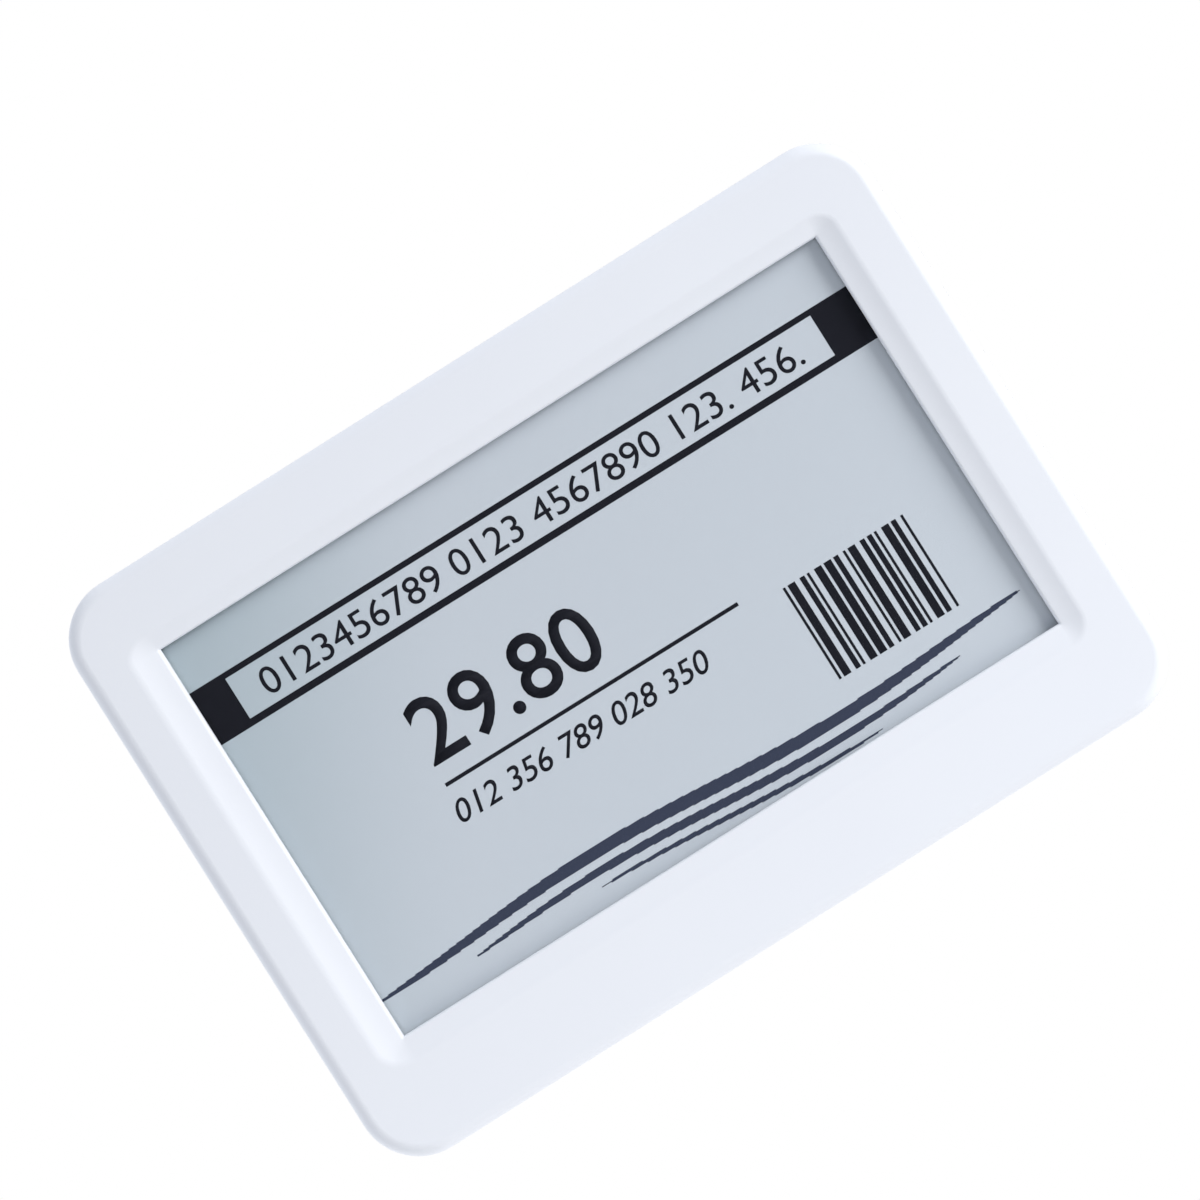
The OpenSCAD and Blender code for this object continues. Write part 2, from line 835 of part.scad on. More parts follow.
module boost_inductor() {
    color("#4A4B50")
        upright()
            on_board(inductor_place_share) {
                block([inductor_side, inductor_side], 0, chip_lead);
                rod(inductor_side / 2 - chip_lead, chip_lead, inductor_height - chip_lead);
                block([inductor_side, inductor_side], inductor_height - chip_lead, inductor_height);
            }
}

module boost_diodes() {
    color(chip_black)
        upright()
            on_board(diode_place_share)
                for (i = [0 : diode_count - 1])
                    translate([0, -i * diode_pitch, 0]) {
                        block(diode_size, 0, diode_height);
                        block([diode_size.x + 2 * chip_lead, diode_size.y / 2], 0, chip_lead);
                    }
}

// Grid of small chip parts, each a body with two end caps
module chip_parts(rows, columns, height) {
    for (row = [0 : rows - 1], column = [0 : columns - 1])
        translate([column * chip_part_pitch, -row * chip_part_pitch, 0]) {
            block(chip_part_size, 0, height);
            for (side = [-1, 1])
                translate([side * (chip_part_size.x - chip_lead) / 2, 0, 0])
                    block([chip_lead, chip_part_size.y + chip_lead / 4], 0, height + chip_lead / 8);
        }
}

module ceramic_capacitors() {
    color("#B08A5E")
        upright()
            on_board(capacitor_place_share)
                chip_parts(capacitor_rows, capacitor_columns, chip_part_height);
}

module chip_resistors() {
    color(chip_black)
        upright()
            on_board(resistor_place_share)
                chip_parts(resistor_rows, resistor_columns, chip_part_height / 2);
}

module storage_capacitor() {
    color("#D9A63A")
        upright()
            on_board(storage_place_share) {
                block(storage_size, chip_lead / 2, storage_height);
                for (side = [-1, 1])
                    translate([side * storage_size.x / 2, 0, 0])
                        block([2 * chip_lead, storage_size.y / 2], 0, storage_height / 2);
            }
}

// Raised strip antenna on two legs, across the foot of one of the board's legs
module radio_antenna() {
    strip_x = board_width / 2 - antenna_inset - antenna_length / 2;
    color("#C8CBD0")
        upright()
            translate([-strip_x, board_foot + 2 * board_screw_inset, board_back])
                mirror([0, 0, 1]) {
                    block([antenna_length, antenna_width], antenna_lift - antenna_thickness, antenna_lift);
                    for (x = [0, antenna_leg_spacing])
                        translate([antenna_leg_width / 2 - antenna_length / 2 + x, 0, 0])
                            block([antenna_leg_width, antenna_thickness], 0, antenna_lift);
                }
}

module tail_connector() {
    rear_wall_y = lock_pivot_y + lock_thickness / 2 + lock_play;
    back = board_back - connector_height;
    color("#E8E4D8")
        upright()
            difference() {
                translate([0, connector_front + connector_length / 2, 0])
                    block([connector_width, connector_length], back, board_back);
                translate([0, (connector_front + rear_wall_y) / 2 - over / 2, 0])
                    block([lock_width + 2 * lock_play, rear_wall_y - connector_front + over],
                        back - over, back + lock_thickness + lock_play);
                translate([0, connector_front + (insertion - over) / 2, 0])
                    block([tail_end_width + 2 * lock_play, insertion + over + 2 * seat],
                        tail_low - seat, tail_low + tail_thickness + lock_play);
                translate([0, lock_pivot_y, lock_pivot_z])
                    rotate([0, 90, 0])
                        cylinder(r = lock_rod_radius + running,
                            h = lock_width + 2 * (lock_rod_reach + lock_play), center = true);
            }
}

module tail_lock() {
    color("#3B3D42")
        upright()
            translate([0, lock_pivot_y, lock_pivot_z]) {
                translate([0, -lock_length / 2, 0])
                    cube([lock_width, lock_length, lock_thickness], center = true);
                rotate([0, 90, 0])
                    cylinder(r = lock_thickness / 2, h = lock_width, center = true);
                rotate([0, 90, 0])
                    cylinder(r = lock_rod_radius, h = lock_width + 2 * lock_rod_reach, center = true);
            }
}

module wake_switch() {
    color("#9EA3A9")
        upright()
            translate([button_x, button_y, board_back])
                mirror([0, 0, 1])
                    difference() {
                        slab([switch_side, switch_side], switch_corner, 0, switch_height);
                        rod(switch_radius + running, switch_height - switch_bore_depth, switch_height + over);
                    }
}

module switch_plunger() {
    color("#2F3136")
        upright()
            translate([button_x, button_y, 0]) rod(switch_radius, plunger_tip, plunger_root);
}

module wake_button() {
    flange_low = wall + running;
    flange_radius = button_diameter / 2 + button_flange;
    color("#A7AEB8")
        upright()
            translate([button_x, button_y, 0])
                difference() {
                    union() {
                        rod(button_diameter / 2, button_recess, flange_low + button_flange_height);
                        rod(flange_radius, flange_low, flange_low + button_flange_height);
                        rod(button_stem_radius, wall, plunger_tip - button_lift);
                    }
                    rod(button_dish_share * button_diameter / 2, 0, button_recess + button_dish_depth);
                }
}

// Coin cell with its wide cup towards the door and its smaller cap inside
module coin_cell(index) {
    rim = cell_rim_share * cell_height;
    cap_radius = cell_cap_share * cell_diameter / 2;
    color("#C6C9CD")
        upright()
            translate([cell_places[index].x, cell_places[index].y, 0]) {
                rod(cell_diameter / 2, cell_low + seat, cell_front - rim);
                rod(cap_radius, cell_front - 2 * rim, cell_front - seat);
            }
}

module coin_cell_1() {
    coin_cell(0);
}

module coin_cell_2() {
    coin_cell(1);
}

module coin_cell_3() {
    coin_cell(2);
}

module coin_cell_4() {
    coin_cell(3);
}

// Spring plates between the roof of the bay and the cells' caps, with tails on the board
module cell_springs() {
    plate = spring_diameter_share * cell_diameter;
    plate_low = bay_front - spring_sheet - seat;
    drop_y = cell_row - bay_height / 2 + bay_wall / 2;
    arm_y = cell_row - plate / 3;
    finger_reach = plate / 2 + finger_width / 4;
    color("#C9B27A")
        upright() {
            at_places(cell_places) {
                difference() {
                    rod(plate / 2, plate_low, bay_front - seat);
                    for (side = [-1, 1])
                        translate([side * plate / 4, 0, 0])
                            block([finger_width, plate / 2], cell_front, bay_front);
                }
                for (side = [-1, 1])
                    translate([side * plate / 4, 0, 0])
                        block([finger_width / 2, finger_reach], cell_front, bay_front - seat);
            }
            for (place = cell_places) {
                x = place.x + contact_offset;
                span(place.x + (contact_offset + contact_width / 2) / 2, contact_offset + contact_width / 2,
                    arm_y, arm_y + contact_width, plate_low, bay_front - seat);
                span(x, contact_width, drop_y, arm_y + contact_width, plate_low, bay_front - seat);
                span(x, contact_width, drop_y, drop_y + spring_sheet, tail_face, bay_front - seat);
                span(x, contact_width, board_top - tail_pad, drop_y + spring_sheet, tail_face,
                    tail_face + spring_sheet);
            }
        }
}

// Upright strips that touch the cells' rims, with tails on the board
module cell_rim_contacts() {
    strip_y = cell_row - cell_diameter / 2 - contact_stand - spring_sheet;
    color("#C9B27A")
        upright()
            for (place = cell_places) {
                span(place.x, contact_width, strip_y, strip_y + spring_sheet, cell_low + spring_height,
                    tail_face + spring_sheet);
                span(place.x, contact_width, board_top - tail_pad, strip_y + spring_sheet, tail_face,
                    tail_face + spring_sheet);
            }
}

module battery_door() {
    color(back_white)
        upright()
            translate([0, cell_row, 0])
                difference() {
                    slab([door_width, door_height], door_corner, 0, door_thickness - seat);
                    for (side = [-1, 1])
                        translate([side * door_screw_x, 0, 0]) {
                            rod(door_screw_head_radius + running, -over, door_screw_seat);
                            rod(door_screw_radius + running, 0, door_thickness + over);
                        }
                    for (i = [0 : grip_count - 1])
                        translate([0, -door_height / 2 + door_corner + i * grip_pitch, 0])
                            block([grip_length, grip_width], -over, grip_depth);
                }
}

module door_pads() {
    color("#55585E")
        upright()
            at_places(cell_places)
                rod(pad_diameter_share * cell_diameter / 2, door_thickness - seat, cell_low);
}

module door_screws() {
    color(steel)
        upright()
            for (side = [-1, 1])
                translate([side * door_screw_x, cell_row, door_screw_seat - seat])
                    screw(door_screw_radius, door_screw_length, door_screw_head_radius,
                        door_screw_head_height);
}

module door_inserts() {
    color(brass)
        upright()
            for (side = [-1, 1])
                translate([side * door_screw_x, cell_row, 0])
                    difference() {
                        rod(door_insert_radius, door_thickness + seat, door_thickness + door_insert_length);
                        rod(door_screw_radius + running, 0, door_thickness + door_insert_length + over);
                    }
}

module bracket_inserts() {
    low = bracket_insert_sink;
    high = bracket_insert_sink + bracket_insert_length;
    middle = (low + high) / 2;
    color(brass)
        upright()
            at_places(bracket_places)
                difference() {
                    rod(bracket_insert_radius, low, high);
                    rod(bracket_bore / 2, low - over, high + over);
                    difference() {
                        rod(bracket_insert_radius + over, middle - bracket_groove, middle + bracket_groove);
                        rod(bracket_insert_radius - bracket_groove, low, high);
                    }
                }
}

front_cover();
rear_cover();
cover_screws();
display_gasket();
clear_sheet();
ink_film();
display_glass();
driver_chip();
display_tail();
display_tape();
display_carrier();
carrier_screws();
main_board();
board_screws();
radio_controller();
controller_shield();
memory_chip();
clock_crystal();
boost_inductor();
boost_diodes();
ceramic_capacitors();
chip_resistors();
storage_capacitor();
radio_antenna();
tail_connector();
tail_lock();
wake_switch();
switch_plunger();
wake_button();
cell_springs();
cell_rim_contacts();
coin_cell_1();
coin_cell_2();
coin_cell_3();
coin_cell_4();
battery_door();
door_pads();
door_screws();
door_inserts();
bracket_inserts();
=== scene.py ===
import math
import bmesh
import bpy
from mathutils import Matrix, Vector


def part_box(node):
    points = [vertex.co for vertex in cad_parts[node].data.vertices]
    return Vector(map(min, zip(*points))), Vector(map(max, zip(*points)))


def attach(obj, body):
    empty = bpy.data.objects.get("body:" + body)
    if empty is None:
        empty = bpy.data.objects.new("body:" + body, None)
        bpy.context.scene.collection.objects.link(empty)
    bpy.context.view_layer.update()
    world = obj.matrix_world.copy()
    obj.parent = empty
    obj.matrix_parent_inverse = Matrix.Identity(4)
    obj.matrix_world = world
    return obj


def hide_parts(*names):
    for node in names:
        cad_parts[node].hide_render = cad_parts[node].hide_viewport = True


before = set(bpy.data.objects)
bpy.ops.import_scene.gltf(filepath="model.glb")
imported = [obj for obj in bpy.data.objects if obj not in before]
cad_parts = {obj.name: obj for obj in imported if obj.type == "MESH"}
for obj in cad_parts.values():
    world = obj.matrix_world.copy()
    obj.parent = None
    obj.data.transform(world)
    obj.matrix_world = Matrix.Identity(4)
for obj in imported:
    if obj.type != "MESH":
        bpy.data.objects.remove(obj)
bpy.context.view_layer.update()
mm = 0.001

# Socket numbers of a colour mix, because its names repeat for each data type
mixFactor, mixFirst, mixSecond, mixResult = 0, 6, 7, 2


def linearColour(code):
    # sRGB hex to the linear values that a socket holds
    channels = [int(code[i:i + 2], 16) / 255 for i in (0, 2, 4)]
    return [c / 12.92 if c <= 0.04045 else ((c + 0.055) / 1.055) ** 2.4 for c in channels] + [1]


def perMetre(millimetres):
    # Texture scale that repeats once in this many millimetres
    return 1000 / millimetres


def wavesPerMetre(millimetres):
    # The same for a wave texture, which runs through 20 radians in one unit
    return perMetre(millimetres) * 2 * math.pi / 20


def addNode(tree, kind, settings=None, links=None):
    # Small names are the node's own settings, the rest are its sockets
    node = tree.nodes.new(kind)
    for name, value in (settings or {}).items():
        if isinstance(name, str) and name[0].islower():
            setattr(node, name, value)
        else:
            node.inputs[name].default_value = value
    for name, source in (links or {}).items():
        tree.links.new(source, node.inputs[name])
    return node


def newFinish(name, sockets):
    finish = bpy.data.materials.new(name)
    finish.use_nodes = True
    tree = finish.node_tree
    shader = tree.nodes["Principled BSDF"]
    for socket, value in sockets.items():
        shader.inputs[socket].default_value = value
    place = addNode(tree, "ShaderNodeTexCoord").outputs["Object"]
    return finish, tree, shader, place


def mouldedAbs(name, look):
    # ABS from a spark-eroded steel mould: even colour, a fine grain that spreads the highlights
    finish, tree, shader, place = newFinish(name, {"Roughness": look["roughness"], "IOR": 1.53})
    flow = addNode(tree, "ShaderNodeTexNoise", {"Scale": perMetre(look["flow"]), "Detail": 2},
                   {"Vector": place})
    tone = addNode(tree, "ShaderNodeMix", {"data_type": "RGBA", mixFirst: linearColour(look["shade"]),
                   mixSecond: linearColour(look["colour"])}, {mixFactor: flow.outputs["Fac"]})
    grain = addNode(tree, "ShaderNodeTexNoise", {"Scale": perMetre(look["grain"]), "Detail": 3},
                    {"Vector": place})
    bump = addNode(tree, "ShaderNodeBump", {"Strength": look["bump"], "Distance": 0.02 * mm},
                   {"Height": grain.outputs["Fac"]})
    tree.links.new(tone.outputs[mixResult], shader.inputs["Base Color"])
    tree.links.new(bump.outputs["Normal"], shader.inputs["Normal"])
    return finish


def filledPlastic(name, look):
    # Glass-filled plastic: short fibres show as faint flecks in the matt skin
    finish, tree, shader, place = newFinish(name, {"Roughness": look["roughness"], "IOR": 1.58})
    stretch = addNode(tree, "ShaderNodeMapping", {"Scale": (1, 1, look["stretch"])}, {"Vector": place})
    fleck = addNode(tree, "ShaderNodeTexNoise", {"Scale": perMetre(look["fleck"]), "Detail": 4},
                    {"Vector": stretch.outputs["Vector"]})
    spread = addNode(tree, "ShaderNodeMapRange", {"From Min": 0.35, "From Max": 0.7},
                     {"Value": fleck.outputs["Fac"]})
    tone = addNode(tree, "ShaderNodeMix", {"data_type": "RGBA", mixFirst: linearColour(look["colour"]),
                   mixSecond: linearColour(look["flecks"])}, {mixFactor: spread.outputs["Result"]})
    bump = addNode(tree, "ShaderNodeBump", {"Strength": 0.15, "Distance": 0.02 * mm},
                   {"Height": fleck.outputs["Fac"]})
    tree.links.new(tone.outputs[mixResult], shader.inputs["Base Color"])
    tree.links.new(bump.outputs["Normal"], shader.inputs["Normal"])
    return finish


def platedMetal(name, look):
    # Plated steel or brass: one metal colour, clouded where the plating is thicker, with drawn lines
    finish, tree, shader, place = newFinish(name, {"Metallic": 1, "Roughness": look["roughness"]})
    cloud = addNode(tree, "ShaderNodeTexNoise", {"Scale": perMetre(look["cloud"]), "Detail": 3},
                    {"Vector": place})
    tone = addNode(tree, "ShaderNodeMix", {"data_type": "RGBA", mixFirst: linearColour(look["shade"]),
                   mixSecond: linearColour(look["colour"])}, {mixFactor: cloud.outputs["Fac"]})
    stretch = addNode(tree, "ShaderNodeMapping", {"Scale": look["drawn"]}, {"Vector": place})
    lines = addNode(tree, "ShaderNodeTexNoise", {"Scale": perMetre(look["lines"]), "Detail": 4},
                    {"Vector": stretch.outputs["Vector"]})
    gloss = addNode(tree, "ShaderNodeMapRange", {"To Min": look["roughness"] - 0.08,
                    "To Max": look["roughness"] + 0.1}, {"Value": lines.outputs["Fac"]})
    bump = addNode(tree, "ShaderNodeBump", {"Strength": 0.08, "Distance": 0.01 * mm},
                   {"Height": lines.outputs["Fac"]})
    tree.links.new(tone.outputs[mixResult], shader.inputs["Base Color"])
    tree.links.new(gloss.outputs["Result"], shader.inputs["Roughness"])
    tree.links.new(bump.outputs["Normal"], shader.inputs["Normal"])
    return finish


def turnedNickel(name, look, centre):
    # Nickel-plated cell can: the press leaves fine rings about its middle
    finish, tree, shader, place = newFinish(name, {"Metallic": 1})
    middle = addNode(tree, "ShaderNodeMapping", {"Location": (-centre.x, 0, -centre.z), "Scale": (1, 0, 1)},
                     {"Vector": place})
    rings = addNode(tree, "ShaderNodeTexWave", {"wave_type": "RINGS", "rings_direction": "SPHERICAL",
                    "Scale": wavesPerMetre(look["ring"]), "Distortion": 0.4, "Detail": 2},
                    {"Vector": middle.outputs["Vector"]})
    rub = addNode(tree, "ShaderNodeTexNoise", {"Scale": perMetre(look["rub"]), "Detail": 4},
                  {"Vector": place})
    tone = addNode(tree, "ShaderNodeMix", {"data_type": "RGBA", mixFirst: linearColour(look["shade"]),
                   mixSecond: linearColour(look["colour"])}, {mixFactor: rub.outputs["Fac"]})
    gloss = addNode(tree, "ShaderNodeMapRange", {"To Min": look["brightest"], "To Max": look["dullest"]},
                    {"Value": rings.outputs["Fac"]})
    bump = addNode(tree, "ShaderNodeBump", {"Strength": 0.1, "Distance": 0.01 * mm},
                   {"Height": rings.outputs["Fac"]})
    tree.links.new(tone.outputs[mixResult], shader.inputs["Base Color"])
    tree.links.new(gloss.outputs["Result"], shader.inputs["Roughness"])
    tree.links.new(bump.outputs["Normal"], shader.inputs["Normal"])
    return finish


def closedFoam(name, look):
    # Closed-cell foam: small round cells, cut through at the skin
    finish, tree, shader, place = newFinish(name, {"Roughness": look["roughness"]})
    cells = addNode(tree, "ShaderNodeTexVoronoi", {"Scale": perMetre(look["cell"])}, {"Vector": place})
    tone = addNode(tree, "ShaderNodeMix", {"data_type": "RGBA", mixFirst: linearColour(look["shade"]),
                   mixSecond: linearColour(look["colour"])}, {mixFactor: cells.outputs["Distance"]})
    bump = addNode(tree, "ShaderNodeBump", {"Strength": 0.6, "Distance": 0.05 * mm},
                   {"Height": cells.outputs["Distance"]})
    tree.links.new(tone.outputs[mixResult], shader.inputs["Base Color"])
    tree.links.new(bump.outputs["Normal"], shader.inputs["Normal"])
    return finish


def hardCoatedSheet(name, look):
    # Clear film with a matt hard coat: the coat's fine ripple blurs what it mirrors
    finish, tree, shader, place = newFinish(name, {"Base Color": linearColour(look["colour"]),
                                            "Roughness": look["roughness"], "IOR": 1.49,
                                            "Alpha": look["alpha"]})
    ripple = addNode(tree, "ShaderNodeTexNoise", {"Scale": perMetre(look["ripple"]), "Detail": 2},
                     {"Vector": place})
    bump = addNode(tree, "ShaderNodeBump", {"Strength": 0.1, "Distance": 0.01 * mm},
                   {"Height": ripple.outputs["Fac"]})
    tree.links.new(bump.outputs["Normal"], shader.inputs["Normal"])
    return finish


# Painted shade: the screen's colour is made greyer towards its upper left corner
paintedCornerShade = {
    "towards": (0.9, 0, -0.45),   # direction towards which the painted shade fades out
    "low": -0.105,
    "high": -0.03,
}


def inkCapsules(name, look):
    # Electronic paper: capsules of pigment, drawn coarser than the real 0.05 mm so that they show
    finish, tree, shader, place = newFinish(name, {"Roughness": look["roughness"], "IOR": 1.45,
                                            "Specular IOR Level": look["gloss"]})
    capsules = addNode(tree, "ShaderNodeTexNoise", {"Scale": perMetre(look["capsule"]), "Detail": 2},
                       {"Vector": place})
    speckle = addNode(tree, "ShaderNodeMix", {"data_type": "RGBA", mixFirst: linearColour(look["shade"]),
                      mixSecond: linearColour(look["colour"])}, {mixFactor: capsules.outputs["Fac"]})
    # Painted shade: the colour is mixed towards a greyer one near the screen's upper left corner
    along = addNode(tree, "ShaderNodeVectorMath", {"operation": "DOT_PRODUCT", 1: paintedCornerShade["towards"]},
                    {0: place})
    clearOfPaintedShade = addNode(tree, "ShaderNodeMapRange", {"interpolation_type": "SMOOTHSTEP",
                     "From Min": paintedCornerShade["low"], "From Max": paintedCornerShade["high"]},
                     {"Value": along.outputs["Value"]})
    tone = addNode(tree, "ShaderNodeMix", {"data_type": "RGBA", mixFirst: linearColour(look["corner"])},
                   {mixFactor: clearOfPaintedShade.outputs["Result"], mixSecond: speckle.outputs[mixResult]})
    bump = addNode(tree, "ShaderNodeBump", {"Strength": 0.06, "Distance": 0.01 * mm},
                   {"Height": capsules.outputs["Fac"]})
    tree.links.new(tone.outputs[mixResult], shader.inputs["Base Color"])
    tree.links.new(bump.outputs["Normal"], shader.inputs["Normal"])
    return finish


def backplaneGlass(name, look):
    # Thin alkali-free glass with rows of transistors, which tint it grey-green
    finish, tree, shader, place = newFinish(name, {"Roughness": look["roughness"], "IOR": 1.52,
                                            "Transmission Weight": look["clear"]})
    rows = addNode(tree, "ShaderNodeTexWave", {"bands_direction": "Z", "Scale": wavesPerMetre(look["row"])},
                   {"Vector": place})
    tone = addNode(tree, "ShaderNodeMix", {"data_type": "RGBA", mixFirst: linearColour(look["shade"]),
                   mixSecond: linearColour(look["colour"])}, {mixFactor: rows.outputs["Fac"]})
    tree.links.new(tone.outputs[mixResult], shader.inputs["Base Color"])
    return finish


def solderMask(name, look):
    # Glass-epoxy board under green mask: the copper tracks raise it into thin paler lines, and holes
    # with a ring of plating come through
    finish, tree, shader, place = newFinish(name, {"Roughness": look["roughness"], "IOR": 1.5})
    along = addNode(tree, "ShaderNodeMapping", {"Rotation": (math.pi / 2, 0, 0)}, {"Vector": place})
    across = addNode(tree, "ShaderNodeMapping", {"Rotation": (math.pi / 2, 0, math.pi / 2)},
                     {"Vector": place})
    rows = addNode(tree, "ShaderNodeTexBrick", look["rows"], {"Vector": along.outputs["Vector"]})
    columns = addNode(tree, "ShaderNodeTexBrick", look["columns"], {"Vector": across.outputs["Vector"]})
    tracks = addNode(tree, "ShaderNodeMath", {"operation": "MAXIMUM"},
                     {0: rows.outputs["Fac"], 1: columns.outputs["Fac"]})
    weave = addNode(tree, "ShaderNodeTexNoise", {"Scale": perMetre(look["weave"]), "Detail": 2},
                    {"Vector": place})
    mask = addNode(tree, "ShaderNodeMix", {"data_type": "RGBA", mixFirst: linearColour(look["shade"]),
                   mixSecond: linearColour(look["colour"])}, {mixFactor: weave.outputs["Fac"]})
    copper = addNode(tree, "ShaderNodeMix", {"data_type": "RGBA", mixSecond: linearColour(look["track"])},
                     {mixFactor: tracks.outputs[0], mixFirst: mask.outputs[mixResult]})
    holes = addNode(tree, "ShaderNodeTexVoronoi", {"Scale": perMetre(look["hole"]), "Randomness": 0.6},
                    {"Vector": place})
    ring = addNode(tree, "ShaderNodeMapRange", {"From Min": 0.07, "From Max": 0.1},
                   {"Value": holes.outputs["Distance"]})
    tone = addNode(tree, "ShaderNodeMix", {"data_type": "RGBA", mixFirst: linearColour(look["plating"])},
                   {mixFactor: ring.outputs["Result"], mixSecond: copper.outputs[mixResult]})
    bump = addNode(tree, "ShaderNodeBump", {"Strength": 0.3, "Distance": 0.03 * mm},
                   {"Height": tracks.outputs[0]})
    tree.links.new(tone.outputs[mixResult], shader.inputs["Base Color"])
    tree.links.new(bump.outputs["Normal"], shader.inputs["Normal"])
    return finish


def polyimideTail(name, look):
    # Amber polyimide over etched copper: the tracks run down the tail as lighter lines, drawn 0.8 mm
    # apart where the real ones are 0.5 mm, so that they show
    finish, tree, shader, place = newFinish(name, {"Roughness": look["roughness"], "IOR": 1.7})
    tracks = addNode(tree, "ShaderNodeTexWave", {"bands_direction": "X",
                     "Scale": wavesPerMetre(look["track"])}, {"Vector": place})
    edge = addNode(tree, "ShaderNodeMapRange", {"From Min": 0.45, "From Max": 0.6},
                   {"Value": tracks.outputs["Fac"]})
    tone = addNode(tree, "ShaderNodeMix", {"data_type": "RGBA", mixFirst: linearColour(look["shade"]),
                   mixSecond: linearColour(look["colour"])}, {mixFactor: edge.outputs["Result"]})
    bump = addNode(tree, "ShaderNodeBump", {"Strength": 0.3, "Distance": 0.02 * mm},
                   {"Height": edge.outputs["Result"]})
    tree.links.new(tone.outputs[mixResult], shader.inputs["Base Color"])
    tree.links.new(bump.outputs["Normal"], shader.inputs["Normal"])
    return finish


def groundCeramic(name, look):
    # Fired or pressed grain, tumbled smooth: specks of two tones in a dull body
    finish, tree, shader, place = newFinish(name, {"Roughness": look["roughness"]})
    specks = addNode(tree, "ShaderNodeTexVoronoi", {"Scale": perMetre(look["speck"])}, {"Vector": place})
    tone = addNode(tree, "ShaderNodeMix", {"data_type": "RGBA", mixFirst: linearColour(look["colour"]),
                   mixSecond: linearColour(look["specks"])}, {mixFactor: specks.outputs["Distance"]})
    bump = addNode(tree, "ShaderNodeBump", {"Strength": 0.2, "Distance": 0.02 * mm},
                   {"Height": specks.outputs["Distance"]})
    tree.links.new(tone.outputs[mixResult], shader.inputs["Base Color"])
    tree.links.new(bump.outputs["Normal"], shader.inputs["Normal"])
    return finish


# One finish for each material slot of the CAD, with pattern sizes in millimetres
finishes = {
    "front_plastic": mouldedAbs("satinAbsFront", {"colour": "EBEEF4", "shade": "E7EAF1", "roughness": 0.42,
                                "flow": 60, "grain": 0.35, "bump": 0.1}),
    "back_plastic": mouldedAbs("grainedAbsBack", {"colour": "E7EAEE", "shade": "DFE2E7", "roughness": 0.5,
                               "flow": 45, "grain": 0.45, "bump": 0.35}),
    "button_plastic": mouldedAbs("polishedAbsButton", {"colour": "A9B0BA", "shade": "A0A7B2",
                                 "roughness": 0.3, "flow": 5, "grain": 0.3, "bump": 0.08}),
    "carrier_plastic": filledPlastic("filledAbsCarrier", {"colour": "A9AFB8", "flecks": "C2C7CE",
                                     "roughness": 0.55, "fleck": 0.5, "stretch": 4}),
    "dark_plastic": filledPlastic("filledBlackPlastic", {"colour": "2B2D32", "flecks": "43464C",
                                  "roughness": 0.45, "fleck": 0.3, "stretch": 3}),
    "connector_plastic": filledPlastic("filledIvoryPlastic", {"colour": "DDD8CA", "flecks": "EFEBDF",
                                       "roughness": 0.5, "fleck": 0.3, "stretch": 3}),
    "screw_steel": platedMetal("zincPlatedSteel", {"colour": "C3C7CB", "shade": "A4A9AF", "roughness": 0.3,
                               "cloud": 2, "lines": 0.3, "drawn": (1, 1, 1)}),
    "tinned_steel": platedMetal("tinnedSteel", {"colour": "D2D5D8", "shade": "B6BABF", "roughness": 0.28,
                                "cloud": 4, "lines": 0.2, "drawn": (0.05, 1, 1)}),
    "cell_steel": platedMetal("nickelPlatedSteel", {"colour": "CFD1D3", "shade": "A9ADB2", "roughness": 0.26,
                              "cloud": 4, "lines": 0.2, "drawn": (0.1, 1, 1)}),
    "insert_brass": platedMetal("turnedBrass", {"colour": "D5B25E", "shade": "B48F42", "roughness": 0.26,
                                "cloud": 1.5, "lines": 0.25, "drawn": (1, 0.1, 1)}),
    "contact_bronze": platedMetal("rolledBronze", {"colour": "D2AE74", "shade": "B48B55", "roughness": 0.3,
                                  "cloud": 3, "lines": 0.15, "drawn": (1, 1, 0.05)}),
    "gasket_foam": closedFoam("closedCellFoam", {"colour": "55585F", "shade": "2E3035", "roughness": 0.9,
                              "cell": 0.35}),
    "clear_sheet": hardCoatedSheet("hardCoatedSheet", {"colour": "20242A", "roughness": 0.3,
                                   "alpha": 0.04, "ripple": 0.15}),
    # The corner colour is painted shade for the screen's upper left corner
    "ink_film": inkCapsules("paleInkCapsules", {"colour": "D9E1E9", "shade": "CDD5DE", "corner": "B9C8D0",
                            "roughness": 0.5, "capsule": 0.3, "gloss": 0.3}),
    "display_glass": backplaneGlass("transistorGlass", {"colour": "A2B3AB", "shade": "84978F",
                                    "roughness": 0.08, "clear": 0.4, "row": 0.8}),
    "chip_epoxy": groundCeramic("filledEpoxy", {"colour": "24262A", "specks": "3A3D42", "speck": 0.12,
                                "roughness": 0.55}),
    "tail_polyimide": polyimideTail("polyimideAndCopper", {"colour": "DB9B45", "shade": "A5651A",
                                    "roughness": 0.28, "track": 0.8}),
    "tape_white": filledPlastic("whiteFoamTape", {"colour": "D9D9D2", "flecks": "E9E9E4", "roughness": 0.8,
                                "fleck": 0.6, "stretch": 1}),
    "board_laminate": solderMask("greenSolderMask", {
        "colour": "1C6344", "shade": "15533A", "track": "2A7C55", "plating": "C9B27A", "roughness": 0.35,
        "weave": 12, "hole": 4.5,
        "rows": {"offset": 0.37, "Scale": perMetre(14), "Mortar Size": 0.009, "Brick Width": 1.3,
                 "Row Height": 0.09},
        "columns": {"offset": 0.29, "Scale": perMetre(9), "Mortar Size": 0.014, "Brick Width": 1.9,
                    "Row Height": 0.33}}),
    "ferrite": groundCeramic("pressedFerrite", {"colour": "404247", "specks": "5B5D63", "speck": 0.2,
                             "roughness": 0.7}),
    "capacitor_ceramic": groundCeramic("firedCeramic", {"colour": "A98256", "specks": "C4A076",
                                       "speck": 0.15, "roughness": 0.45}),
    "tantalum_resin": groundCeramic("castYellowResin", {"colour": "D39B2F", "specks": "E7B758",
                                    "speck": 0.25, "roughness": 0.4}),
}
